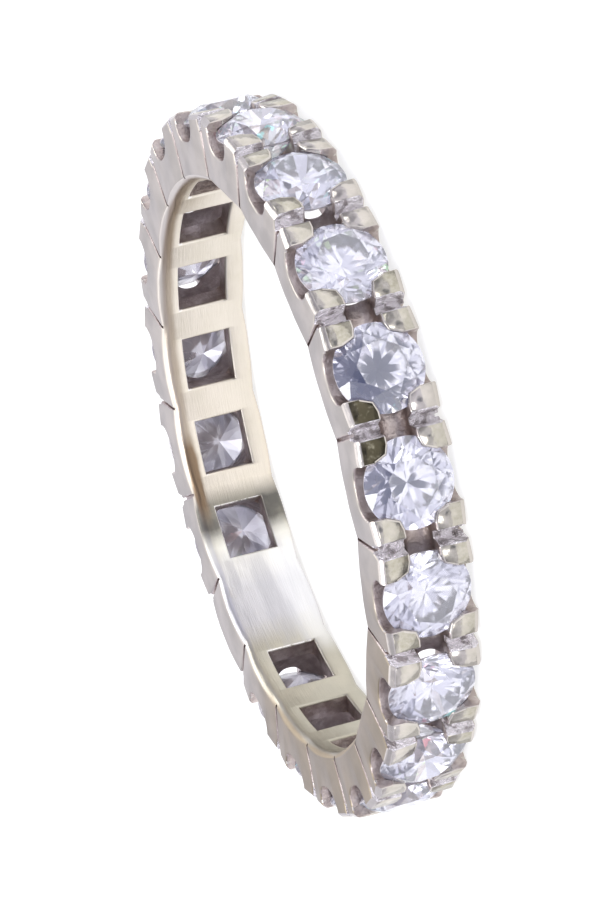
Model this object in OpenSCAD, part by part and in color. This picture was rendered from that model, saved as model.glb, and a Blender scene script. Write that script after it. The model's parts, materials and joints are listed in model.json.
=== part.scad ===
// Full-circle eternity ring: a band of square four-claw units, each with a round brilliant,
// and one short plain bar. It lies on its side: the axis of the finger hole is Z, the lower
// side face is at z = 0, and the plain bar is centred on -X.

/* [Finger hole and band] */
// Diameter of the finger hole
bore_d = 16.6; // [16.5:0.05:16.7]
// Width of the band along the finger, at the middle of a unit
band_w = 2.7; // [2.65:0.05:2.8]
// Height of the claw tips above the finger hole
claw_h = 1.95; // [1.92:0.02:2]
// Rounding of the two edges of the finger hole
inner_edge_r = 0.25; // [0.2:0.05:0.3]
// Chamfer of the outer edges
outer_chamfer = 0.14; // [0.12:0.02:0.16]

/* [Plain bar] */
// Angle of the ring that the bar takes up
bar_deg = 16; // [15:0.5:17]
// Height of the bar above the finger hole
bar_h = 1.65; // [1.6:0.05:1.7]

/* [Stones] */
// Number of stones
stone_n = 19; // [19]
// Girdle diameter of a stone
stone_d = 2.5; // [2.4:0.02:2.5]
// Height of the middle of the girdle above the finger hole
girdle_h = 1.6; // [1.58:0.02:1.64]
// Table diameter, as a share of the girdle diameter
table_share = 0.56; // [0.53:0.01:0.6]
// Slope of the crown
crown_deg = 34; // [32:0.5:36]
// Slope of the pavilion
pavilion_deg = 41; // [40:0.5:42]
// Thickness of the girdle
girdle_t = 0.07; // [0.05:0.01:0.09]

/* [Setting] */
// Gap between a stone and the metal
stone_gap = 0.02; // [0.01:0.01:0.03]
// Length of a window along the circumference
window_l = 1.6; // [1.4:0.05:1.7]
// Width of a window along the finger
window_w = 1.45; // [1.3:0.05:1.5]
// Thickness of the inner wall that the windows go through
window_wall = 0.5; // [0.45:0.05:0.6]
// Diameter of the hollow under a stone
hollow_d = 2; // [1.9:0.05:2.1]
// Width of a side scallop between its claws
scallop_l = 1.46; // [1.3:0.02:1.6]
// Height of the scallop floor above the finger hole
scallop_floor_h = 1.1; // [1:0.05:1.2]
// Width of the channel between the claws that face the next stone
channel_w = 0.82; // [0.7:0.02:0.9]
// Height of the channel floor above the finger hole
channel_floor_h = 1.15; // [1:0.05:1.3]

/* [Saw cuts] */
// Width of the slot at the claw tips
slot_top_w = 0.42; // [0.36:0.02:0.5]
// Width of the slot at its floor
slot_floor_w = 0.22; // [0.18:0.02:0.26]
// Height of the slot floor above the finger hole
slot_floor_h = 1.5; // [1.42:0.02:1.56]
// Width of the line that the saw leaves on a side face
line_w = 0.18; // [0.1:0.02:0.24]
// Depth of that line
line_depth = 0.2; // [0.16:0.02:0.22]
// Length of the slope of a side face down to that line
side_slope_l = 1; // [0.9:0.05:1.1]
// Drop of the side face at that line
side_drop = 0.08; // [0.06:0.01:0.1]

/* [Hidden] */
bore_r = bore_d / 2;
claw_r = bore_r + claw_h;
bar_r = bore_r + bar_h;
mid_z = band_w / 2;
unit_deg = (360 - bar_deg) / stone_n;
// Angle of the middle of the plain bar, and of the end of it where the units start
bar_mid_deg = 180;
first_deg = bar_mid_deg + bar_deg / 2;
// How far a cutter runs past the faces that it opens
past = 0.5;
// Sides of the ring's round faces, and of small round cutters
ring_fn = 240;
cutter_fn = 48;

// Corners of a claw's top that face the stone, from the middle of the unit:
// [along the circumference, along the finger]
claw_corners = [[0.7, 0.94], [0.88, 0.5], [1.16, 0.41]];

// Stone, measured from the middle of its girdle
facet_n = 8;
facet_deg = 360 / facet_n;
girdle_r = stone_d / 2;
table_r = girdle_r * table_share;
star_r = (table_r + girdle_r) / 2;
lower_r = girdle_r * 0.24;
stone_r = bore_r + girdle_h;

function stone_name(i) = str("stone_", i < 10 ? "0" : "", i);
function stone_deg(i) = first_deg + unit_deg * (i - 0.5);
function cut_deg(i) = first_deg + unit_deg * i;

// Height of the crown's and the pavilion's main slopes at a distance from the stone's axis
function crown_z(r) = girdle_t / 2 + (girdle_r - r) * tan(crown_deg);
function pavilion_z(r) = -girdle_t / 2 - (girdle_r - r) * tan(pavilion_deg);

// Turns a child that is drawn with +X along the circumference, +Y along the finger and +Z
// away from the ring's axis to its angle on the ring
module on_ring(deg) {
    translate([0, 0, mid_z]) rotate([0, 0, deg]) rotate([90, 0, 90]) children();
}

// Section of the ring: rounded edges to the finger, chamfered edges outside
module section(outer_r) {
    difference() {
        translate([bore_r, 0]) square([outer_r - bore_r, band_w]);
        for (side = [0, 1]) translate([0, side * band_w]) mirror([0, side]) {
            difference() {
                translate([bore_r - past, -past]) square(inner_edge_r + past);
                translate([bore_r + inner_edge_r, inner_edge_r])
                    circle(inner_edge_r, $fn = cutter_fn);
            }
            translate([outer_r, 0]) rotate(45) square(outer_chamfer * sqrt(2), center = true);
        }
    }
}

// What stands over the plain bar
module over_bar() {
    rotate([0, 0, bar_mid_deg - bar_deg / 2]) rotate_extrude(angle = bar_deg, $fn = ring_fn)
        difference() {
            translate([bar_r - outer_chamfer, -past]) square([claw_h, band_w + 2 * past]);
            section(bar_r);
        }
}

// U-shaped outline, open upwards, with its floor at a radius of the ring
module u_outline(w, floor_r) {
    round_r = w * 0.4;
    translate([-w / 2, floor_r + round_r]) square([w, claw_r + past - floor_r - round_r]);
    translate([round_r - w / 2, floor_r]) square([w - 2 * round_r, round_r + past]);
    for (side = [-1, 1]) translate([side * (w / 2 - round_r), floor_r + round_r])
        circle(round_r, $fn = cutter_fn);
}

// Scallop through both side walls of a unit
module scallop() {
    rotate([90, 0, 0]) linear_extrude(band_w + 2 * past, center = true)
        u_outline(scallop_l, bore_r + scallop_floor_h);
}

// Channel from stone to stone, between the claws, all the way round to the plain bar
module channel() {
    rotate([0, 0, first_deg]) rotate_extrude(angle = stone_n * unit_deg, $fn = ring_fn)
        translate([0, mid_z]) rotate(-90) u_outline(channel_w, bore_r + channel_floor_h);
}

// Window in the inner wall
module window() {
    translate([0, 0, bore_r]) linear_extrude(2 * window_wall + past, center = true)
        square([window_l, window_w], center = true);
}

// Space of one stone with the gap round it, and the hollow under it
module stone_space() {
    seat_r = girdle_r + stone_gap;
    hollow_r = hollow_d / 2;
    crown_h = 0.6;
    translate([0, 0, stone_r]) rotate_extrude($fn = 96) polygon([
        [0, window_wall - girdle_h],
        [hollow_r, window_wall - girdle_h],
        [hollow_r, pavilion_z(hollow_r) - 2 * stone_gap],
        [seat_r, -girdle_t / 2 - stone_gap],
        [seat_r, girdle_t / 2 + stone_gap],
        [seat_r - crown_h / tan(crown_deg), girdle_t / 2 + stone_gap + crown_h],
        [0, girdle_t / 2 + stone_gap + crown_h],
    ]);
}

// Opening over the stone, which leaves a claw with a blunt point at each corner
module claw_opening() {
    side_y = band_w / 2;
    quarter = concat([[0, 0], [0, side_y], [scallop_l / 2, side_y]], claw_corners,
        [[claw_corners[2][0], 0]]);
    translate([0, 0, stone_r]) linear_extrude(claw_h) for (x = [0, 1], y = [0, 1])
        mirror([x, 0]) mirror([0, y]) polygon(quarter);
}

// Saw cut between two units: the slot between their claws, a line down each side face and the
// slope of the side face down to that line
module saw_cut() {
    top_h = claw_h - slot_floor_h;
    flare = (slot_top_w - slot_floor_w) / 2 * past / top_h;
    rotate([90, 0, 0]) linear_extrude(band_w + 2 * past, center = true) polygon([
        [-slot_floor_w / 2, bore_r + slot_floor_h],
        [slot_floor_w / 2, bore_r + slot_floor_h],
        [slot_top_w / 2 + flare, claw_r + past],
        [-slot_top_w / 2 - flare, claw_r + past],
    ]);
    lip = side_drop * (1 - line_w / 2 / side_slope_l);
    for (side = [0, 1]) mirror([0, side]) translate([0, band_w / 2, bore_r - past])
        linear_extrude(claw_h + past) polygon([
            [-side_slope_l, 0], [-line_w / 2, -lip], [0, -line_depth], [line_w / 2, -lip],
            [side_slope_l, 0], [side_slope_l, past], [-side_slope_l, past],
        ]);
}

// Metal of the ring: inner wall, units with their claws, and the plain bar
module band() color("#cfc9bd") difference() {
    rotate_extrude($fn = ring_fn) section(claw_r);
    over_bar();
    channel();
    for (i = [1:stone_n]) on_ring(stone_deg(i)) {
        window();
        stone_space();
        claw_opening();
        scallop();
    }
    for (i = [0:stone_n]) on_ring(cut_deg(i)) saw_cut();
}

// Round brilliant with its table towards +Z and the middle of its girdle at the origin
module brilliant() {
    n = facet_n;
    half = facet_deg / 2;
    function round_points(count, start, r, z) =
        [for (k = [0:count - 1]) let (a = start + k * 360 / count) [r * cos(a), r * sin(a), z]];
    // Where each row of points starts: table, stars, girdle top, girdle bottom, lower halves
    star = n;
    top = 2 * n;
    bottom = 4 * n;
    lower = 6 * n;
    culet = 7 * n;
    points = concat(
        round_points(n, 0, table_r, crown_z(table_r)),
        round_points(n, half, star_r, crown_z(star_r * cos(half))),
        round_points(2 * n, 0, girdle_r, girdle_t / 2),
        round_points(2 * n, 0, girdle_r, -girdle_t / 2),
        round_points(n, half, lower_r, pavilion_z(lower_r * cos(half))),
        [[0, 0, pavilion_z(0)]]
    );
    faces = concat(
        [[for (k = [n - 1:-1:0]) k]],
        [for (k = [0:n - 1]) let (next = (k + 1) % n) [next, star + k, k]],
        [for (k = [0:n - 1]) [star + k, top + 2 * k, star + (k + n - 1) % n, k]],
        [for (k = [0:n - 1]) [top + 2 * k + 1, top + 2 * k, star + k]],
        [for (k = [0:n - 1]) [top + (2 * k + 2) % (2 * n), top + 2 * k + 1, star + k]],
        [for (j = [0:2 * n - 1]) let (next = (j + 1) % (2 * n))
            [top + j, top + next, bottom + next, bottom + j]],
        [for (k = [0:n - 1]) [lower + k, bottom + 2 * k, bottom + 2 * k + 1]],
        [for (k = [0:n - 1]) [lower + k, bottom + 2 * k + 1, bottom + (2 * k + 2) % (2 * n)]],
        [for (k = [0:n - 1]) [culet, lower + (k + n - 1) % n, bottom + 2 * k, lower + k]]
    );
    polyhedron(points, faces);
}

// One stone in its seat
module stone(i) color("#dfe3f2") on_ring(stone_deg(i)) translate([0, 0, stone_r]) brilliant();

band();
for (i = [1:stone_n]) stone(i);
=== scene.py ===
import json
import math
import random

import bmesh
import bpy
from mathutils import Matrix, Vector


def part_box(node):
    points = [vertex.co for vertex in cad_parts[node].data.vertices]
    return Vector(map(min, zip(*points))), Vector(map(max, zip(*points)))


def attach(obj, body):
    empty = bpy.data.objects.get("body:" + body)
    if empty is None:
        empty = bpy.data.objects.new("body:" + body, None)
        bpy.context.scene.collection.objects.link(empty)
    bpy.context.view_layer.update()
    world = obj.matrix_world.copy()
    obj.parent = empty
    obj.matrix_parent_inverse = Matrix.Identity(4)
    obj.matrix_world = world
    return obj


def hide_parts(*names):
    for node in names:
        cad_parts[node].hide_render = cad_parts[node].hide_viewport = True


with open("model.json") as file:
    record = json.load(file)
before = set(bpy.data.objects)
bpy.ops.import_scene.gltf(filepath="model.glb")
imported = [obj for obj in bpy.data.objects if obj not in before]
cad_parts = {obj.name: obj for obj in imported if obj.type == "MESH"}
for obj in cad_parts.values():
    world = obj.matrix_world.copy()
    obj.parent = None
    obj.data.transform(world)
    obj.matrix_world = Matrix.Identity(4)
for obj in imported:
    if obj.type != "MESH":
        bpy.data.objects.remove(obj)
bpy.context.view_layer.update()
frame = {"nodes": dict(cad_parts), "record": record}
chance = random.Random(11)

# Sizes of the ring, in millimetres. A unit is one stone in its square setting.
MM = 0.001
finger_hole = next(m for m in frame["record"]["mounts"] if m["name"] == "finger_hole")
BORE_R = finger_hole["dims"]["r_mm"]
BAND_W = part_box("band")[1].z / MM
SIDE = BAND_W / 2
STONES = sorted(n for n in frame["nodes"] if n.startswith("stone_"))
BAR_MID = math.radians(180)
BAR_ANGLE = math.radians(16)
UNIT_ANGLE = (math.tau - BAR_ANGLE) / len(STONES)
FIRST_ANGLE = BAR_MID + BAR_ANGLE / 2

CLAW_R = BORE_R + 1.95
BAR_R = BORE_R + 1.65
INNER_EDGE = 0.25
OUTER_EDGE = 0.14
# Rounding of the edges that a hand feels
SOFT_EDGE = 0.065
# The satin of the inner wall ends at this radius, and the side faces start this far from the middle
SATIN_R = BORE_R + INNER_EDGE * 0.75
FLANK_START = SIDE - INNER_EDGE * 0.3

# Setting: window in the inner wall, hollow under the stone, scallops at the sides, channel between stones
WINDOW_LENGTH = 1.6
WINDOW_WIDTH = 1.45
WALL_R = BORE_R + 0.5
HOLLOW_R = 1.0
SCALLOP_LENGTH = 1.46
SCALLOP_FLOOR = BORE_R + 1.1
CHANNEL_WIDTH = 0.82
CHANNEL_FLOOR = BORE_R + 1.15
# Length of the channel in the end of the plain bar
CHANNEL_END = 0.1

# Claws: inner corners of a claw's top, along the circumference and along the finger, and its middle
CLAW_POINT = ((0.7, 0.94), (0.88, 0.5), (1.16, 0.41))
CLAW_MIDDLE = 1.09
CLAW_ACROSS = 0.94
# Most that a claw's tip is tilted, shifted and sunk, where it is tilted from, and how far it is worn
TIP_TILT = 0.1
TIP_SHIFT = 0.015
TIP_SINK = 0.03
TIP_PIVOT = SIDE * 0.7
TIP_WEAR = (0.08, 0.4)
# A face is a claw's top if it faces the claw's own way at least this squarely
TOP_FACING = 0.97
# Claws whose tops are painted dark as a painted reflection, by their unit's number and their side along
# the circumference and the finger
PAINTED_DARK_CLAWS = ((8, 1, 1), (9, -1, 1))

# Steps of the round shapes
EDGE_STEPS = 8
CHAMFER_STEPS = 3
SOFT_STEPS = 3
FLOOR_STEPS = 6
UNIT_STEPS = 6
CHANNEL_STEPS = 8
BAR_STEPS = 8
SEAT_STEPS = 64
GIRDLE_STEPS = 96

# Saw cuts: the slot between two units, the line that it leaves down each side face, and the slope of
# the side face down to that line
SLOT_TOP = 0.42
SLOT_BOTTOM = 0.22
SLOT_FLOOR = BORE_R + 1.5
LINE_WIDTH = 0.08
# The line is as deep as the second step of the inner edge's rounding, and ends on that rounding
LINE_DEPTH = INNER_EDGE * (1 - math.sin(math.tau / 4 * 2 / EDGE_STEPS))
LINE_END = BORE_R + INNER_EDGE * 0.45
SLOPE_LENGTH = 1.0
SLOPE_DROP = 0.08
SLOPE_START = 0.9
SLOPE_CURVE = 1.5
SLOPE_STEPS = 4
# The claws' upright edges are rounded if they are this upright and this long, and start at this radius
UPRIGHT = 0.85
UPRIGHT_LENGTH = 0.1
UPRIGHT_START = SLOT_FLOOR - 0.3

# Brilliant, measured from the middle of its girdle
STONE_R = 1.25
GIRDLE_LEVEL = BORE_R + 1.6
GIRDLE = 0.035
STONE_GAP = 0.02
TABLE_R = STONE_R * 0.56
STAR_R = (TABLE_R + STONE_R) / 2
LOWER_R = STONE_R * 0.24
CROWN_SLOPE = math.tan(math.radians(34))
PAVILION_SLOPE = math.tan(math.radians(41))
FACETS = 8
FACET_ANGLE = math.tau / FACETS
# By the stone's number: the eighths of its back that are painted dark as a painted reflection, its
# share of facets with a painted tint of fire, and the dust on its back. The others have no dark eighth,
# and this share of tinted facets and this dust.
PAINTED_DARK_KITES = {9: range(FACETS), 8: (0, 1, 4)}
FIERY_STONES = {11: 0.2, 12: 0.4, 13: 0.5, 14: 0.5}
DUSTY_STONES = {1: 0.8, 2: 0.3, 15: 0.25, 16: 0.5, 17: 0.6, 18: 0.75, 19: 0.65}
USUAL_FIRE = 0.1
USUAL_DUST = 0.1
# How far the facets of one stone differ in their dust and in their painted darkness
DUST_RANGE = (0.85, 1.15)
PAINTED_DARK_RANGE = (0.8, 1)
# A facet that rises less than this is on the girdle, one that faces up more than that is the table, and
# one this near the middle of an eighth is a kite
GIRDLE_RISE = 0.05
TABLE_RISE = 0.9
KITE_MIDDLE = 0.05

# How far a cutter runs past the faces that it opens, along a side and as an angle round the ring
PAST = 0.5
PAST_ANGLE = 0.05
TOP = CLAW_R + 1
# Points this near each other are one, and points this near a face lie on it or close beside it
SAME_SPOT = 1e-4
ON_FACE = 1e-3
BESIDE = 0.01
# Faces that turn by less than this become one, edges that turn by more than the next are rounded, and
# those that turn by more than the last are drawn sharp
FLAT = math.radians(0.5)
CREASE = math.radians(25)
SHARP = math.radians(35)
ALONG_U, ALONG_V, ALONG_W = Vector((1, 0, 0)), Vector((0, 1, 0)), Vector((0, 0, 1))
# From a unit's own frame (u along the circumference, v along the finger, w away from the axis)
# to the ring's frame
TO_RING = (Matrix.Translation((0, 0, SIDE))
           @ Matrix(((0, 0, 1, 0), (1, 0, 0, 0), (0, 1, 0, 0), (0, 0, 0, 1))))


class Wire:
    """The output of a shader node, which plain sums can be written with."""

    def __init__(self, look, socket):
        self.look = look
        self.socket = socket

    def also(self, output):
        """Another output of the same node."""
        return Wire(self.look, self.socket.node.outputs[output])

    def maths(self, operation, *values):
        return self.look.node("ShaderNodeMath", {"operation": operation}, dict(enumerate(values)))

    def __add__(self, other):
        return self.maths("ADD", self, other)

    def __radd__(self, other):
        return self.maths("ADD", other, self)

    def __sub__(self, other):
        return self.maths("SUBTRACT", self, other)

    def __rsub__(self, other):
        return self.maths("SUBTRACT", other, self)

    def __mul__(self, other):
        return self.maths("MULTIPLY", self, other)

    def __rmul__(self, other):
        return self.maths("MULTIPLY", other, self)

    def __truediv__(self, other):
        return self.maths("DIVIDE", self, other)

    def __abs__(self):
        return self.maths("ABSOLUTE", self)


class Look:
    """The nodes of a material or of the world."""

    def __init__(self, owner):
        owner.use_nodes = True
        self.owner = owner
        self.tree = owner.node_tree

    def join(self, socket, value):
        """Links a wire to a socket, or sets a plain value on it."""
        if isinstance(value, Wire):
            self.tree.links.new(value.socket, socket)
        else:
            socket.default_value = value

    def node(self, kind, settings=None, inputs=None, output=0):
        """Adds a node, from its type, its settings and what its sockets get."""
        made = self.tree.nodes.new(kind)
        for name, value in (settings or {}).items():
            if name == "stops":
                ramp = made.color_ramp
                while len(ramp.elements) < len(value):
                    ramp.elements.new(1)
                for element, (place, colour) in zip(ramp.elements, value):
                    element.position = place
                    element.color = colour
            else:
                setattr(made, name, value)
        for name, value in (inputs or {}).items():
            self.join(made.inputs[name], value)
        return Wire(self, made.outputs[output])

    def first(self, kind):
        """The node of that kind which is there from the start."""
        return next(n for n in self.tree.nodes if n.bl_idname == kind)

    def shader(self, kind, values):
        """Sets sockets of the node of that kind which is there from the start."""
        first = self.first(kind)
        for name, value in values.items():
            self.join(first.inputs[name], value)

    def mix(self, share, first, second, kind="MIX"):
        return self.node("ShaderNodeMix", {"data_type": "RGBA", "blend_type": kind, "clamp_factor": True},
                         {0: share, 6: first, 7: second}, 2)

    def ramp(self, value, stops):
        """Colours that run into each other along a value."""
        return self.node("ShaderNodeValToRGB", {"stops": stops}, {0: value})

    def rise(self, value, low, high):
        """0 at low, 1 at high and smooth between them."""
        return self.node("ShaderNodeMapRange", {"interpolation_type": "SMOOTHSTEP"},
                         {"Value": value, "From Min": low, "From Max": high})

    def larger(self, first, second):
        return self.node("ShaderNodeMath", {"operation": "MAXIMUM"}, {0: first, 1: second})

    def noise(self, place, scale, detail=3.0, roughness=0.5):
        return self.node("ShaderNodeTexNoise", None, {"Vector": place, "Scale": scale, "Detail": detail,
                                                      "Roughness": roughness})

    def bump(self, height, strength, distance):
        return self.node("ShaderNodeBump", None, {"Height": height, "Strength": strength,
                                                  "Distance": distance * MM})

    def attribute(self, name):
        """A value that the mesh keeps for each face or point."""
        return self.node("ShaderNodeAttribute", {"attribute_name": name}, output="Fac")

    def place(self):
        """Object coordinates in millimetres."""
        spot = self.node("ShaderNodeTexCoord", output="Object")
        return self.node("ShaderNodeVectorMath", {"operation": "SCALE"}, {0: spot, "Scale": 1 / MM})

    def round_place(self, place, along, across):
        """Coordinates for streaks round the ring: their pace along and across the streaks."""
        x = self.node("ShaderNodeSeparateXYZ", None, {0: place})
        y, z = x.also(1), x.also(2)
        radius = self.radius(place)
        return self.node("ShaderNodeCombineXYZ", None,
                         {0: x / radius * along, 1: y / radius * along, 2: z * across})

    def height(self, place):
        """Height over the lower side face."""
        return self.node("ShaderNodeSeparateXYZ", None, {0: place}).also(2)

    def radius(self, place):
        """Distance from the ring's axis."""
        flat = self.node("ShaderNodeVectorMath", {"operation": "MULTIPLY"}, {0: place, 1: (1, 1, 0)})
        return self.node("ShaderNodeVectorMath", {"operation": "LENGTH"}, {0: flat}, "Value")

    def turn(self, place):
        """Angle round the ring's axis, from the middle of the plain bar."""
        x = self.node("ShaderNodeSeparateXYZ", None, {0: place})
        return x.maths("ARCTAN2", 0 - x.also(1), 0 - x)

    def along_unit(self, turn):
        """Place along a unit at an angle from the plain bar: from -0.5 to 0.5, away from the bar."""
        units = (abs(turn) - BAR_ANGLE / 2) / UNIT_ANGLE
        return units.maths("FRACT", units) - 0.5


def paint(red, green, blue):
    return (red, green, blue, 1)


def white_gold(name, values):
    """A finish of the metal, from a function that gives the values of its shader."""
    look = Look(bpy.data.materials.new(name))
    look.shader("ShaderNodeBsdfPrincipled", {"Metallic": 1.0} | values(look))
    return look.owner


def polished(look):
    """Claw tops and outer edges: polished by hand, so each top is a soft dome and a little different."""
    place = look.place()
    tone = look.attribute("tone")
    waves = look.noise(place, 2.2, 2.0)
    patches = look.noise(place, 1.6, 3.0, 0.6)
    specks = look.noise(place, 5, 3.0, 0.7)
    scratches = look.noise(look.round_place(place, 40, 9), 1, 4.0, 0.6)
    along = abs(look.along_unit(look.turn(place))) * (UNIT_ANGLE * CLAW_R) - CLAW_MIDDLE
    across = abs(look.height(place) - SIDE) - CLAW_ACROSS
    on_top = look.rise(tone, 0.0, 0.05)
    dome = (along * along + across * across) * on_top
    cleaner = look.rise(patches, 0.3, 0.7) * (0.35 + 0.65 * on_top)
    gold = look.mix(cleaner, paint(0.66, 0.63, 0.58), paint(0.84, 0.80, 0.75))
    # Random wear darkens a claw top a little; a tone of 1 paints it dark as a painted reflection
    aged_and_painted_dark = look.ramp(tone * (0.3 + 1.5 * specks), (
        (0.0, paint(0.9, 0.88, 0.87)), (0.08, paint(0.82, 0.80, 0.79)), (0.3, paint(0.76, 0.75, 0.69)),
        (0.55, paint(0.5, 0.49, 0.4)), (1.0, paint(0.13, 0.12, 0.085))))
    return {"Base Color": look.mix(1.0, gold, aged_and_painted_dark, "MULTIPLY"),
            "Roughness": 0.15 + 0.14 * patches + 0.05 * scratches,
            "Normal": look.bump(waves * (0.02 + 0.04 * on_top) + scratches * 0.004 - dome * 0.8, 1.0, 1.0)}


def smoothed(look):
    """Side faces: smoothed with a fine paper, greyer than the claws, and darker and warmer on one side of
    the plain bar, as painted shade."""
    place = look.place()
    clouds = look.noise(place, 0.9, 3.0)
    grain = look.noise(place, 16, 4.0, 0.7)
    turn = look.turn(place)
    colour = look.mix(look.rise(clouds, 0.3, 0.7), paint(0.46, 0.425, 0.37), paint(0.60, 0.55, 0.48))
    # Painted shade: darker and warmer on one side of the plain bar
    side_painted_shade = look.rise(turn, 0.1, 0.5) * look.rise(turn, 2.4, 1.9)
    return {"Base Color": look.mix(side_painted_shade, colour, paint(0.67, 0.61, 0.51), "MULTIPLY"),
            "Roughness": 0.26 + 0.12 * grain,
            "Normal": look.bump(clouds + grain * 0.08, 0.25, 0.05)}


# Colours of the inner wall, by their angle in degrees from the middle of the plain bar. The dark and
# bright bands near the bar are painted reflections.
WALL_COLOURS_AND_PAINTED_REFLECTIONS = (
    (-75, paint(0.80, 0.745, 0.66)), (-25, paint(0.84, 0.77, 0.66)), (-21, paint(0.15, 0.145, 0.13)),
    (-16.5, paint(0.19, 0.18, 0.16)), (-13, paint(0.95, 0.93, 0.83)), (-8, paint(0.90, 0.88, 0.84)),
    (-3, paint(0.72, 0.71, 0.725)), (5, paint(0.69, 0.675, 0.69)), (11, paint(0.53, 0.50, 0.42)),
    (60, paint(0.46, 0.43, 0.34)), (110, paint(0.76, 0.71, 0.62)))


def brushed(look):
    """Inner wall: satin, with fine lines that run round the finger. Dark and bright bands on both sides of
    the plain bar are painted reflections, and the plain bar carries a painted highlight. Its upper edge is
    darker brown in parts, with painted shade on part of its outer rounding; the lower rims of the windows
    are darker, and some of the others carry a painted highlight."""
    place = look.place()
    turn = look.turn(place)
    height = look.height(place)
    lines = look.noise(look.round_place(place, 14, 22), 1, 4.0, 0.65)
    bands = look.noise(look.round_place(place, 3.5, 2.2), 1, 3.0)
    stains = look.noise(place, 0.8, 4.0, 0.6)
    # The ramp paints dark and bright bands near the plain bar as painted reflections
    gold = look.ramp(0.5 + (turn + 0.05 * stains) / math.tau,
                     [(0.5 + degrees / 360, shade) for degrees, shade in WALL_COLOURS_AND_PAINTED_REFLECTIONS])
    worn_and_painted_reflection = look.mix(look.rise(stains, 0.4, 0.75) * 0.4, gold, paint(0.66, 0.61, 0.49))
    on_bar = look.rise(abs(turn), 0.3, 0.16)
    streaked = look.mix(on_bar * look.rise(bands, 0.4, 0.62) * 0.4, worn_and_painted_reflection, paint(0.48, 0.475, 0.5))
    # Painted highlight: white on the plain bar towards the lower side face
    bar_painted_highlight = look.mix(on_bar * look.rise(height, 1.2, 0.4) * 0.55, streaked, paint(1.0, 1.0, 1.0))
    # Darker brown along the upper edge of the wall, most on one side of the plain bar
    edge = BAND_W - INNER_EDGE
    outermost = look.rise(height, BAND_W - INNER_EDGE * 0.7, BAND_W - INNER_EDGE * 0.3)
    strip = look.rise(height + 0.15 * stains, edge - 0.2, edge) * (1 - outermost)
    darker = (0.7 * look.rise(0 - turn, 0.3, 0.5) + 0.3 * look.rise(0 - turn, 1.2, 1.5)
              + look.rise(abs(turn + 0.5), 0.2, 0.05))
    browned_upper_edge = look.mix(strip * darker * 0.8, bar_painted_highlight, paint(0.28, 0.20, 0.13))
    # Painted shade on the outermost rounding past the plain bar: darker gold-brown, and rougher too
    dulled_and_shaded = outermost * look.rise(turn, 0.3, 0.5)
    shaded_outer_rounding = look.mix(dulled_and_shaded * 0.7, browned_upper_edge, paint(0.4, 0.31, 0.2))
    # Window rims: the lower ones darker, a ragged painted highlight on rims near the plain bar, and a
    # painted highlight on the upper rims on one side of it
    rim = (look.rise(look.radius(place), BORE_R + 0.003, BORE_R + 0.015)
           * look.rise(abs(height - SIDE), 0.9, 0.8))
    ragged = look.rise(look.noise(place, 7, 3.0, 0.7), 0.35, 0.5)
    lower = look.rise(SIDE - height, 0.6, 0.7)
    upper = look.rise(height - SIDE, 0.6, 0.7) * look.rise(turn, 0.0, -0.2)
    end = look.rise(abs(turn), 0.52, 0.45) * look.rise(look.along_unit(turn) * turn, -0.01, -0.05)
    edged = look.mix(rim * lower, shaded_outer_rounding, paint(0.4, 0.37, 0.32))
    bright = rim * (end * ragged * (1 - lower) + upper)
    return {"Base Color": look.mix(bright, edged, paint(1.0, 0.98, 0.95)),
            "Roughness": 0.2 + 0.14 * lines + 0.1 * bands + 0.2 * dulled_and_shaded,
            "Normal": look.bump(lines + bands * 0.5, 0.4, 0.02)}


def shaded(look):
    """Hollows, windows and scallops: dull metal with dirt in it, and painted shade deeper in."""
    place = look.place()
    grime = look.noise(place, 2.6, 4.0, 0.6)
    marks = look.noise(place, 9, 3.0, 0.6)
    # Painted shade: darker deeper into the ring, added to the dirt
    depth = look.rise(look.radius(place), CLAW_R, BORE_R + 0.3)
    clean = paint(0.66, 0.585, 0.555)
    dirty = paint(0.35, 0.28, 0.255)
    return {"Base Color": look.mix(look.rise(grime, 0.3, 0.65) * 0.6 + depth * 0.3, clean, dirty),
            "Roughness": 0.25 + 0.25 * grime,
            "Normal": look.bump(grime + marks * 0.6, 0.6, 0.07)}


def sawn(look):
    """Slots between the units: rough from the saw, with bright flecks."""
    place = look.place()
    teeth = look.noise(place, 8, 4.0, 0.7)
    dirt = look.noise(place, 3.5, 3.0)
    clean = paint(0.90, 0.865, 0.89)
    dirty = paint(0.38, 0.34, 0.34)
    return {"Base Color": look.mix(look.rise(dirt, 0.45, 0.66), clean, dirty),
            "Roughness": 0.08 + 0.15 * dirt,
            "Normal": look.bump(teeth, 1.0, 0.15)}


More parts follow.
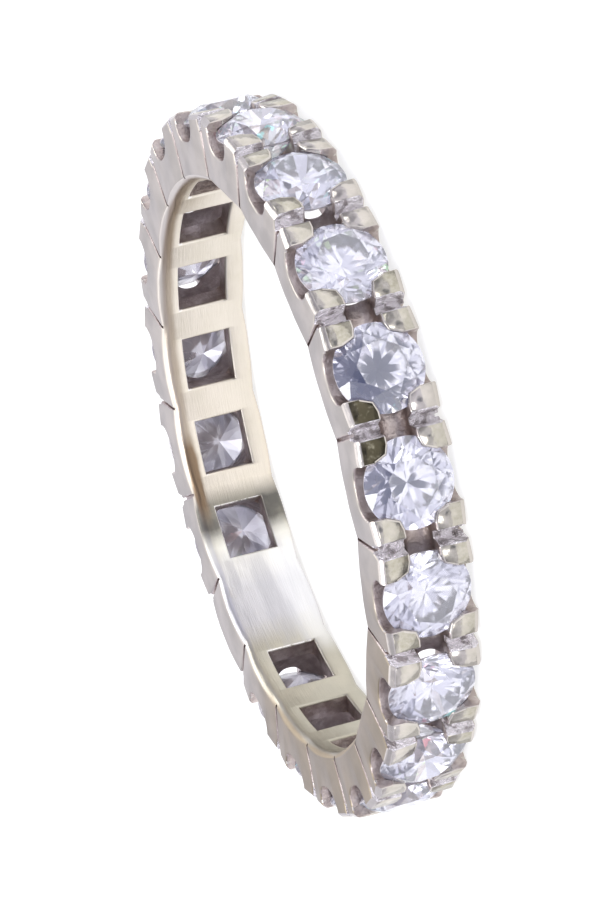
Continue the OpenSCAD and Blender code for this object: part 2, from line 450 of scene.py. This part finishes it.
def diamond():
    """Clear and very slightly blue, with a faint painted glow. A few facets carry a painted tint, and some
    of them a painted spark that glows, for the fire of the stone. The facets at the back are dull with
    dust, and some round the point of the stone are painted dark as a painted reflection, with a faint
    blue painted glow."""
    look = Look(bpy.data.materials.new("cut_diamond"))
    place = look.place()
    fire, frost, dust, dark, reach = [look.attribute(name)
                                      for name in ("fire", "frost", "dust", "dark", "reach")]
    cloud = look.noise(place, 0.9, 2.0)
    polish = look.noise(place, 30, 2.0)
    # Painted fire: tints of coloured light on a few facets
    tint = look.ramp(fire, (
        (0.0, paint(0.86, 0.86, 0.94)), (0.2, paint(0.82, 0.83, 1.0)), (0.5, paint(1.0, 0.78, 0.66)),
        (0.7, paint(0.85, 1.0, 0.85)), (0.85, paint(0.7, 0.95, 1.0)), (1.0, paint(1.0, 0.62, 0.62))))
    spark = look.ramp(fire, (
        (0.48, paint(0.7, 1.0, 0.45)), (0.52, paint(0.35, 0.95, 1.0)), (0.8, paint(0.35, 0.95, 1.0)),
        (0.84, paint(1.0, 0.3, 0.4))))
    # Painted sparks: bright spots of coloured light, which also glow through the emission
    glint = look.rise(fire, 0.35, 0.4) * look.rise(look.noise(place, 3, 2.0), 0.56, 0.64)
    tinted = look.mix(cloud * 0.4, tint, paint(0.8, 0.8, 0.97))
    look.shader("ShaderNodeBsdfPrincipled", {
        "Base Color": look.mix(glint, tinted, spark),
        "Roughness": 0.04 + 0.06 * cloud + 0.1 * dust + frost * (0.2 + 0.2 * polish),
        "Transmission Weight": 0.98, "IOR": 2.417,
        # A faint painted glow everywhere, brighter in the sparks
        "Emission Color": look.mix(glint * 0.25, paint(0.02, 0.02, 0.025), spark),
        "Emission Strength": 1.0})
    clear = Wire(look, look.first("ShaderNodeBsdfPrincipled").outputs[0])
    # Painted reflection: facets round the point are painted nearly black, with a faint blue painted glow
    painted_dark_core = dark * look.rise(reach, 0.5, 0.36)
    dull = look.node("ShaderNodeBsdfPrincipled", None, {
        "Base Color": look.mix(painted_dark_core, paint(0.52, 0.475, 0.475), paint(0.01, 0.015, 0.04)),
        "Roughness": 0.35,
        "Emission Color": look.mix(painted_dark_core, paint(0, 0, 0), paint(0.008, 0.018, 0.08)),
        "Emission Strength": 1.0})
    # Dust lies on the back from outside: the windows show it, and the stone's front hardly does
    from_inside = look.node("ShaderNodeNewGeometry", output="Backfacing")
    dusty = dust * (0.5 + 0.4 * cloud) * (1 - 0.85 * from_inside)
    share = look.larger(look.larger(dusty, painted_dark_core), frost * 0.75)
    both = look.node("ShaderNodeMixShader", None, {0: share, 1: clear, 2: dull})
    look.shader("ShaderNodeOutputMaterial", {"Surface": both})
    return look.owner


# Finishes of the metal, in the order of the band's material list
OUTSIDE, INSIDE, HOLLOW, SLOT, FLANK = range(5)
FINISHES = [white_gold("polished_claws", polished), white_gold("brushed_inner_wall", brushed),
            white_gold("dull_hollows", shaded), white_gold("sawn_slots", sawn),
            white_gold("smoothed_side_faces", smoothed)]


def arc(centre, radius, start, end, steps):
    """Points of an arc, by its angles in degrees."""
    turns = [math.radians(start + (end - start) * k / steps) for k in range(steps + 1)]
    return [(centre[0] + radius * math.cos(a), centre[1] + radius * math.sin(a)) for a in turns]


def everything(bm):
    """All that an operator on a whole shape is given."""
    return bm.verts[:] + bm.edges[:] + bm.faces[:]


def flat_face(outline, across, up):
    """A bmesh with one face, whose outline is given along two directions."""
    bm = bmesh.new()
    bm.faces.new([bm.verts.new(across * a + up * b) for a, b in outline])
    return bm


def closed(bm):
    """Merges what meets and turns all faces outwards."""
    bmesh.ops.remove_doubles(bm, verts=bm.verts, dist=SAME_SPOT / 10)
    bmesh.ops.recalc_face_normals(bm, faces=bm.faces)
    return bm


def filed(bm, spot, away, near=0.0):
    """Takes off what is beyond a plane, and closes the shape there."""
    bmesh.ops.bisect_plane(bm, geom=everything(bm), plane_co=spot, plane_no=away, clear_outer=True,
                           dist=near)
    bmesh.ops.holes_fill(bm, edges=[e for e in bm.edges if e.is_boundary])


def prism(outline, across, up, low, high):
    """A flat outline drawn out along the third direction."""
    along = across.cross(up)
    bm = flat_face(outline, across, up)
    bmesh.ops.translate(bm, verts=bm.verts, vec=along * low)
    wall = bmesh.ops.extrude_face_region(bm, geom=bm.faces[:])
    moved = [g for g in wall["geom"] if isinstance(g, bmesh.types.BMVert)]
    bmesh.ops.translate(bm, verts=moved, vec=along * (high - low))
    return closed(bm)


def swept(outline, start, end, steps):
    """An outline in v and w, turned round the ring's axis."""
    bm = flat_face(outline, ALONG_V, ALONG_W)
    bmesh.ops.rotate(bm, verts=bm.verts, cent=(0, 0, 0), matrix=Matrix.Rotation(start, 3, "Y"))
    bmesh.ops.spin(bm, geom=bm.faces[:] + bm.edges[:] + bm.verts[:], cent=(0, 0, 0), axis=ALONG_V,
                   angle=end - start, steps=steps, use_merge=False)
    return closed(bm)


def turned(outline, steps):
    """An outline in u and w, turned all the way round the w axis."""
    bm = bmesh.new()
    verts = [bm.verts.new(ALONG_U * u + ALONG_W * w) for u, w in outline]
    edges = [bm.edges.new(pair) for pair in zip(verts, verts[1:])]
    bmesh.ops.spin(bm, geom=verts + edges, cent=(0, 0, 0), axis=ALONG_W, angle=math.tau, steps=steps,
                   use_merge=True)
    return closed(bm)


def as_object(name, bm, materials):
    """Puts a bmesh into the scene as an object."""
    mesh = bpy.data.meshes.new(name)
    for material in materials:
        mesh.materials.append(material)
    bm.to_mesh(mesh)
    bm.free()
    obj = bpy.data.objects.new(name, mesh)
    bpy.context.scene.collection.objects.link(obj)
    return obj


def cut(solid, cutters):
    """The solid without the space of the cutters. A cutter's faces keep their finish."""
    obj = as_object("block", solid, FINISHES)
    tools = [as_object("cutter", bm, FINISHES) for bm in cutters]
    for tool in tools:
        away = obj.modifiers.new("cut", "BOOLEAN")
        away.operation = "DIFFERENCE"
        away.solver = "EXACT"
        away.object = tool
    bpy.context.view_layer.update()
    mesh = bpy.data.meshes.new_from_object(obj.evaluated_get(bpy.context.evaluated_depsgraph_get()))
    bm = bmesh.new()
    bm.from_mesh(mesh)
    for used in [obj] + tools:
        bpy.data.meshes.remove(used.data)
    bpy.data.meshes.remove(mesh)
    bmesh.ops.remove_doubles(bm, verts=bm.verts, dist=SAME_SPOT)
    bmesh.ops.dissolve_limit(bm, angle_limit=FLAT, verts=bm.verts, edges=bm.edges, delimit={"MATERIAL"})
    return bm


def finished(bm, finish):
    """Gives all faces one finish of the metal."""
    for face in bm.faces:
        face.material_index = finish
    return bm


def radius(vert):
    """Distance from the ring's axis, in a unit's own frame."""
    return math.hypot(vert.co.x, vert.co.z)


def section(top_r):
    """Half of the band's section, from its middle to one side face: v and w."""
    inner = arc((SIDE - INNER_EDGE, BORE_R + INNER_EDGE), INNER_EDGE, -90, 0, EDGE_STEPS)
    outer = arc((SIDE - OUTER_EDGE, top_r - OUTER_EDGE), OUTER_EDGE, 0, 90, CHAMFER_STEPS)
    return [(0, BORE_R)] + inner + outer + [(0, top_r)]


def block(top_r, angle, steps):
    """A quarter of a unit or of the plain bar before it is cut, with a satin inner wall."""
    bm = swept(section(top_r), 0, angle, steps)
    for face in bm.faces:
        if max(radius(v) for v in face.verts) < SATIN_R:
            face.material_index = INSIDE
        elif min(v.co.y for v in face.verts) > FLANK_START:
            face.material_index = FLANK
    return bm


def u_outline(half, floor):
    """Half of a U that is open upwards."""
    round_r = half * 0.8
    return ([(-PAST, floor)] + arc((half - round_r, floor + round_r), round_r, -90, 0, FLOOR_STEPS)
            + [(half, TOP), (-PAST, TOP)])


def opening_cutter():
    """What is open above the stone. It leaves a claw with a blunt point at the corner."""
    edge = CLAW_POINT[2][0]
    half = SCALLOP_LENGTH / 2
    outline = [(-PAST, -PAST), (edge, -PAST)] + list(CLAW_POINT[::-1]) + [
        (half, SIDE), (half, SIDE + PAST), (-PAST, SIDE + PAST)]
    return finished(prism(outline, ALONG_U, ALONG_V, GIRDLE_LEVEL, TOP), OUTSIDE)


def scallop_cutter():
    """The scallop through the side wall, between two claws."""
    outline = u_outline(SCALLOP_LENGTH / 2, SCALLOP_FLOOR)
    return finished(prism(outline, ALONG_U, ALONG_W, -SIDE - PAST, PAST), HOLLOW)


def channel_cutter(start, end, steps):
    """The channel from stone to stone, between the claws."""
    outline = u_outline(CHANNEL_WIDTH / 2, CHANNEL_FLOOR)
    return finished(swept(outline, start, end, steps), HOLLOW)


def window_cutter():
    """The window, which reaches a little into the hollow behind it."""
    length, width = WINDOW_LENGTH / 2, WINDOW_WIDTH / 2
    outline = [(-PAST, -PAST), (length, -PAST), (length, width), (-PAST, width)]
    return finished(prism(outline, ALONG_U, ALONG_V, BORE_R - PAST, WALL_R + 0.02), HOLLOW)


def stone_cutter():
    """The stone's seat and the round hollow under it."""
    seat = STONE_R + STONE_GAP
    girdle = GIRDLE + STONE_GAP
    rise = 0.6
    outline = [(0, WALL_R), (HOLLOW_R, WALL_R),
               (HOLLOW_R, GIRDLE_LEVEL - girdle - (seat - HOLLOW_R) * PAVILION_SLOPE),
               (seat, GIRDLE_LEVEL - girdle), (seat, GIRDLE_LEVEL + girdle),
               (seat - rise / CROWN_SLOPE, GIRDLE_LEVEL + girdle + rise),
               (0, GIRDLE_LEVEL + girdle + rise)]
    return finished(turned(outline, SEAT_STEPS), HOLLOW)


def saw_cutters(angle):
    """The slot between two units' claws, and the line that the saw leaves down the side face."""
    to_cut = Matrix.Rotation(angle, 3, "Y")
    flare = (SLOT_TOP - SLOT_BOTTOM) / 2 * (TOP - CLAW_R) / (CLAW_R - SLOT_FLOOR)
    slot = prism([(-SLOT_BOTTOM / 2, SLOT_FLOOR), (SLOT_BOTTOM / 2, SLOT_FLOOR),
                  (SLOT_TOP / 2 + flare, TOP), (-SLOT_TOP / 2 - flare, TOP)],
                 ALONG_U, ALONG_W, -SIDE - PAST, PAST)
    line = prism([(-LINE_WIDTH / 2, SIDE - LINE_DEPTH), (LINE_WIDTH / 2, SIDE - LINE_DEPTH),
                  (LINE_WIDTH / 2, SIDE + PAST), (-LINE_WIDTH / 2, SIDE + PAST)],
                 ALONG_U, ALONG_V, LINE_END, TOP)
    for bm in (slot, line):
        bmesh.ops.rotate(bm, verts=bm.verts, cent=(0, 0, 0), matrix=to_cut)
    return [finished(slot, SLOT), finished(line, HOLLOW)]


def flat_tops(bm):
    """Files the top flat over the claw, with a chamfer. Returns the direction that the top faces."""
    roof = Matrix.Rotation(math.atan2(CLAW_MIDDLE, CLAW_R), 3, "Y") @ ALONG_W
    corner = roof * (CLAW_R - OUTER_EDGE) + ALONG_V * SIDE
    for spot, away in ((roof * CLAW_R, roof), (corner, roof + ALONG_V)):
        filed(bm, spot, away.normalized())
        closed(bm)
    return roof


def open_where_cut(bm, half_angle):
    """Drops the faces where a quarter meets its mirror images and the next unit."""
    end = Matrix.Rotation(half_angle, 3, "Y") @ ALONG_U
    walls = [f for f in bm.faces
             if any(all(abs(v.co.dot(n)) < ON_FACE for v in f.verts) for n in (ALONG_U, ALONG_V, end))]
    bmesh.ops.delete(bm, geom=walls, context="FACES")


def soften(bm, roof, top_r):
    """Rounds the edges that a hand feels: claw tops, side faces and the rims of the windows."""
    def rim(edge):
        if not edge.is_manifold or edge.calc_face_angle_signed(0) < CREASE:
            return False
        low, high = edge.verts
        step = high.co - low.co
        top = all(abs(v.co.dot(roof) - top_r) < ON_FACE for v in edge.verts)
        upright = (abs(step.normalized().z) > UPRIGHT and step.length > UPRIGHT_LENGTH
                   and min(low.co.z, high.co.z) > UPRIGHT_START)
        side = min(low.co.y, high.co.y) > SIDE - ON_FACE
        window = (max(radius(low), radius(high)) < BORE_R + BESIDE
                  and max(low.co.x, high.co.x) < WINDOW_LENGTH / 2 + BESIDE
                  and max(low.co.y, high.co.y) < WINDOW_WIDTH / 2 + BESIDE)
        return top or upright or side or window

    rounded = bmesh.ops.bevel(bm, geom=[e for e in bm.edges if rim(e)], offset=SOFT_EDGE,
                              offset_type="OFFSET", affect="EDGES", segments=SOFT_STEPS, profile=0.5,
                              material=-1, clamp_overlap=False)
    for face in rounded["faces"]:
        if max(radius(v) for v in face.verts) < WALL_R:
            face.material_index = INSIDE


def sloped(bm, half_angle):
    """Slopes the side face down to the saw line, in a gentle curve."""
    to_cut = Matrix.Rotation(half_angle, 3, "Y") @ ALONG_U
    for step in range(SLOPE_STEPS):
        start = to_cut * (-SLOPE_LENGTH * (1 - step / SLOPE_STEPS))
        bmesh.ops.bisect_plane(bm, geom=everything(bm), plane_co=start, plane_no=to_cut, dist=SAME_SPOT)
    for v in bm.verts:
        share = max(0, 1 + v.co.dot(to_cut) / SLOPE_LENGTH)
        reach = max(0, (v.co.y - SLOPE_START) / (SIDE - SLOPE_START))
        v.co.y -= SLOPE_DROP * share ** SLOPE_CURVE * reach


def mirrored(bm):
    """A quarter becomes a whole."""
    for axis in ("X", "Y"):
        bmesh.ops.mirror(bm, geom=everything(bm), merge_dist=SAME_SPOT, axis=axis)
    mesh = bpy.data.meshes.new("part")
    bm.to_mesh(mesh)
    bm.free()
    return mesh


def unit_mesh():
    """One unit without its stone: four claws round a window."""
    half = UNIT_ANGLE / 2
    bm = block(TOP, half, UNIT_STEPS)
    roof = flat_tops(bm)
    channel = channel_cutter(-PAST_ANGLE, half + PAST_ANGLE, CHANNEL_STEPS)
    bm = cut(bm, [channel, window_cutter(), stone_cutter(), opening_cutter(), scallop_cutter()]
             + saw_cutters(half))
    open_where_cut(bm, half)
    soften(bm, roof, CLAW_R)
    sloped(bm, half)
    return mirrored(bm)


def bar_mesh():
    """The plain bar, with half a saw cut and the end of the channel at each end."""
    half = BAR_ANGLE / 2
    pocket = CHANNEL_END / BAR_R
    bm = block(BAR_R, half, BAR_STEPS)
    bm = cut(bm, [channel_cutter(half - pocket, half + pocket, 2)] + saw_cutters(half))
    open_where_cut(bm, half)
    soften(bm, ALONG_W, BAR_R)
    sloped(bm, half)
    return mirrored(bm)


def either_way(most):
    """A chance value between the most one way and the most the other way."""
    return chance.uniform(-most, most)


def uneven_claws(bm, verts, faces, number):
    """Leaves each claw a little different, as filing and setting by hand do. A few tops are painted
    dark as a painted reflection.
    """
    low = GIRDLE_LEVEL
    tone = bm.faces.layers.float["tone"]
    for along, across in ((-1, -1), (-1, 1), (1, -1), (1, 1)):
        tilt_u, tilt_v = either_way(TIP_TILT), either_way(TIP_TILT)
        shift_u, shift_v = either_way(TIP_SHIFT), either_way(TIP_SHIFT)
        sink = chance.uniform(0, TIP_SINK)
        # The listed claws get the darkest tone, a painted reflection; the others a random tone of wear
        worn_and_painted_reflection = 1 if (number, along, across) in PAINTED_DARK_CLAWS else chance.uniform(*TIP_WEAR)
        roof = Vector((along * CLAW_MIDDLE, 0, CLAW_R)).normalized()
        for face in faces:
            spot = face.calc_center_median()
            above = min(spot.x * along, spot.y * across, spot.z - low)
            if above > 0 and abs(face.normal.dot(roof)) > TOP_FACING:
                face[tone] = worn_and_painted_reflection
        for v in verts:
            if v.co.x * along > 0 and v.co.y * across > 0 and radius(v) > low:
                share = (radius(v) - low) / (CLAW_R - low)
                out_u, out_v = v.co.x * along - CLAW_MIDDLE, v.co.y * across - TIP_PIVOT
                v.co += share * Vector((shift_u * along, min(shift_v, 0) * across,
                                        tilt_u * out_u + tilt_v * out_v - sink))


def unit_angle(k):
    """Angle of the middle of a unit on the ring. The first has the number 0."""
    return FIRST_ANGLE + UNIT_ANGLE * (k + 0.5)


def on_ring(angle):
    """From a unit's own frame to its place on the ring."""
    return Matrix.Rotation(angle, 4, "Z") @ TO_RING


def band():
    """The metal of the ring, in millimetres."""
    whole = bmesh.new()
    whole.faces.layers.float.new("tone")
    unit, bar = unit_mesh(), bar_mesh()
    turns = [(unit, unit_angle(k)) for k in range(len(STONES))] + [(bar, BAR_MID)]
    for number, (mesh, angle) in enumerate(turns, 1):
        verts, faces = len(whole.verts), len(whole.faces)
        whole.from_mesh(mesh)
        whole.verts.ensure_lookup_table()
        whole.faces.ensure_lookup_table()
        fresh = whole.verts[verts:]
        if mesh is unit:
            uneven_claws(whole, fresh, whole.faces[faces:], number)
        bmesh.ops.transform(whole, verts=fresh, matrix=on_ring(angle))
    bmesh.ops.remove_doubles(whole, verts=whole.verts, dist=SAME_SPOT)
    bmesh.ops.recalc_face_normals(whole, faces=whole.faces)
    return whole


def crown(r):
    """Height of the crown's main slope at a distance from the stone's axis."""
    return GIRDLE + (STONE_R - r) * CROWN_SLOPE


def pavilion(r):
    """Height of the pavilion's main slope at a distance from the stone's axis."""
    return -GIRDLE - (STONE_R - r) * PAVILION_SLOPE


def brilliant():
    """A round brilliant, ground facet by facet from a cylinder, in millimetres."""
    bm = bmesh.new()
    bmesh.ops.create_cone(bm, cap_ends=True, segments=GIRDLE_STEPS, radius1=STONE_R, radius2=STONE_R,
                          depth=2 * STONE_R)

    def spot(turn, r, height):
        return Vector((r * math.cos(turn), r * math.sin(turn), height))

    def grind(first, second, third):
        away = (second - first).cross(third - first).normalized()
        if away.dot(first) < 0:
            away.negate()
        filed(bm, first, away, SAME_SPOT / 10)

    half = FACET_ANGLE / 2
    star_height = crown(STAR_R * math.cos(half))
    lower_height = pavilion(LOWER_R * math.cos(half))
    table = crown(TABLE_R)
    grind(spot(0, TABLE_R, table), spot(2, TABLE_R, table), spot(4, TABLE_R, table))
    for k in range(FACETS):
        mid = k * FACET_ANGLE
        tip, foot = spot(mid, STONE_R, GIRDLE), spot(mid, STONE_R, -GIRDLE)
        grind(tip, spot(mid - half, STAR_R, star_height), spot(mid + half, STAR_R, star_height))
        grind(foot, spot(mid - half, LOWER_R, lower_height), spot(mid + half, LOWER_R, lower_height))
        grind(spot(mid, TABLE_R, table), spot(mid + FACET_ANGLE, TABLE_R, table),
              spot(mid + half, STAR_R, star_height))
        for side in (-half, half):
            grind(tip, spot(mid + side, STONE_R, GIRDLE), spot(mid + side, STAR_R, star_height))
            grind(foot, spot(mid + side, STONE_R, -GIRDLE), spot(mid + side, LOWER_R, lower_height))
    bmesh.ops.remove_doubles(bm, verts=bm.verts, dist=SAME_SPOT)
    bmesh.ops.recalc_face_normals(bm, faces=bm.faces)
    return bm


def facets(bm, number):
    """Flat facets and a smooth, frosted girdle. A few facets get a painted tint of fire, the facets at the
    back get dust and some of them are painted dark round the point of the stone, as a painted
    reflection."""
    fire, frost, dust, dark = [bm.faces.layers.float.new(name)
                               for name in ("fire", "frost", "dust", "dark")]
    reach = bm.verts.layers.float.new("reach")
    for v in bm.verts:
        v[reach] = math.hypot(v.co.x, v.co.y) / STONE_R
    fiery = FIERY_STONES.get(number, USUAL_FIRE)
    dusty = DUSTY_STONES.get(number, USUAL_DUST)
    painted_dark_kites = PAINTED_DARK_KITES.get(number, ())
    for face in bm.faces:
        way = face.normal
        on_girdle = abs(way.z) < GIRDLE_RISE
        on_table = way.z > TABLE_RISE
        face.smooth = on_girdle
        face[frost] = 1.0 if on_girdle else 0.0
        face[fire] = 0.0 if on_girdle or on_table or chance.random() > fiery else chance.random()
        if way.z < -GIRDLE_RISE:
            eighth = math.atan2(way.y, way.x) / FACET_ANGLE
            kite = abs(eighth - round(eighth)) < KITE_MIDDLE
            in_painted_dark = kite and round(eighth) % FACETS in painted_dark_kites
            face[dust] = dusty * chance.uniform(*DUST_RANGE)
            face[dark] = chance.uniform(*PAINTED_DARK_RANGE) if in_painted_dark else 0.0
    for edge in bm.edges:
        edge.smooth = all(f.smooth for f in edge.link_faces)


def piece(name, bm, materials, node):
    """Hands a finished shape in millimetres to the frame, in place of a CAD node."""
    bmesh.ops.scale(bm, verts=bm.verts, vec=(MM, MM, MM))
    obj = as_object(name, bm, materials)
    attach(obj, "root")
    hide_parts(node)
    return obj


def make_band():
    bm = band()
    for face in bm.faces:
        face.smooth = True
    for edge in bm.edges:
        edge.smooth = edge.calc_face_angle(0) < SHARP
    obj = piece("band_of_claw_settings", bm, FINISHES, "band")
    even = obj.modifiers.new("even_shading", "WEIGHTED_NORMAL")
    even.keep_sharp = True


def make_stones():
    """Sets each stone at its own unit, turned about its own axis by chance."""
    material = diamond()
    for k, node in enumerate(STONES):
        bm = brilliant()
        facets(bm, k + 1)
        place = (on_ring(unit_angle(k)) @ Matrix.Translation((0, 0, GIRDLE_LEVEL))
                 @ Matrix.Rotation(chance.uniform(0, math.tau), 4, "Z"))
        bmesh.ops.transform(bm, verts=bm.verts, matrix=place)
        piece(node.replace("stone", "brilliant"), bm, [material], node)


# Stage: the camera stands where the photograph was taken from. Its places and sizes are in metres.
CAMERA_AIM = (-0.00019186, 0.00032144, SIDE * MM - 0.00008948)
CAMERA_AZIMUTH = math.radians(61.597)
CAMERA_ELEVATION = math.radians(15.181)
CAMERA_ROLL = math.radians(-104.180)
CAMERA_DISTANCE = 0.137077
CAMERA_LENS = 193.586
# The floor lies this far under the ring
FLOOR_GAP = 0.01 * MM
FLOOR_HALF = 3
# Soft areas of the room: azimuth and elevation of the middle, where an area starts to fade and where it
# ends, all in degrees, and its shade
ROOM_SHADE = paint(0.86, 0.86, 0.98)
ROOM_AREAS = ((61.6, 20, 9, 20, paint(0.18, 0.19, 0.25)),
              (150, 45, 20, 40, paint(0.4, 0.4, 0.47)),
              (-40, 50, 20, 40, paint(0.56, 0.56, 0.64)),
              (241.6, 65, 20, 35, paint(1.5, 1.5, 1.6)))
# Soft boxes: azimuth and elevation in degrees, side and power
SOFT_BOXES = ((20, 60, 0.25, 0.9), (180, 50, 0.3, 0.7))
BOX_DISTANCE = 0.5


def make_camera():
    data = bpy.data.cameras.new("camera")
    data.lens = CAMERA_LENS
    data.sensor_width = 36
    data.clip_start = 0.01
    data.clip_end = 20
    obj = bpy.data.objects.new("camera", data)
    turn = (Matrix.Rotation(CAMERA_AZIMUTH, 4, "Z")
            @ Matrix.Rotation(math.tau / 4 - CAMERA_ELEVATION, 4, "X")
            @ Matrix.Rotation(CAMERA_ROLL, 4, "Z"))
    obj.matrix_world = Matrix.Translation(CAMERA_AIM) @ turn @ Matrix.Translation((0, 0, CAMERA_DISTANCE))
    bpy.context.scene.collection.objects.link(obj)
    bpy.context.scene.camera = obj


def make_floor():
    look = Look(bpy.data.materials.new("pale_floor"))
    grain = look.noise(look.place(), 0.05, 3.0)
    look.shader("ShaderNodeBsdfPrincipled", {
        "Base Color": look.mix(grain, paint(0.38, 0.38, 0.38), paint(0.42, 0.42, 0.42)),
        "Roughness": 0.8, "Specular IOR Level": 0.0,
        "Emission Color": paint(1, 1, 1), "Emission Strength": 0.75})
    bm = bmesh.new()
    bmesh.ops.create_grid(bm, x_segments=1, y_segments=1, size=FLOOR_HALF)
    bmesh.ops.translate(bm, verts=bm.verts, vec=(0, 0, -FLOOR_GAP))
    as_object("floor", bm, [look.owner])


def way_to(azimuth, elevation):
    """Direction of a place in the room, by the same angles as the camera's."""
    az, el = math.radians(azimuth), math.radians(elevation)
    return (math.sin(az) * math.cos(el), -math.cos(az) * math.cos(el), math.sin(el))


def make_room():
    """A pale room. Its soft dark and bright areas give the metal and the stones something to mirror."""
    world = bpy.data.worlds.new("room")
    bpy.context.scene.world = world
    look = Look(world)
    way = look.node("ShaderNodeTexCoord", output="Generated")
    colour = ROOM_SHADE
    for azimuth, elevation, inner, outer, shade in ROOM_AREAS:
        near = look.node("ShaderNodeVectorMath", {"operation": "DOT_PRODUCT"},
                         {0: way, 1: way_to(azimuth, elevation)}, "Value")
        share = look.rise(near, math.cos(math.radians(outer)), math.cos(math.radians(inner)))
        colour = look.mix(share, colour, shade)
    look.shader("ShaderNodeBackground", {"Color": colour, "Strength": 1.0})


def make_lights():
    for azimuth, elevation, size, power in SOFT_BOXES:
        data = bpy.data.lights.new("soft_box", "AREA")
        data.size = size
        data.energy = power
        obj = bpy.data.objects.new("soft_box", data)
        away = Vector(way_to(azimuth, elevation))
        facing = away.to_track_quat("Z", "Y").to_matrix().to_4x4()
        obj.matrix_world = Matrix.Translation(away * BOX_DISTANCE) @ facing
        bpy.context.scene.collection.objects.link(obj)


make_band()
make_stones()
make_camera()
make_floor()
make_room()
make_lights()
bpy.context.scene.view_settings.view_transform = "Standard"
bpy.context.scene.cycles.use_denoising = True
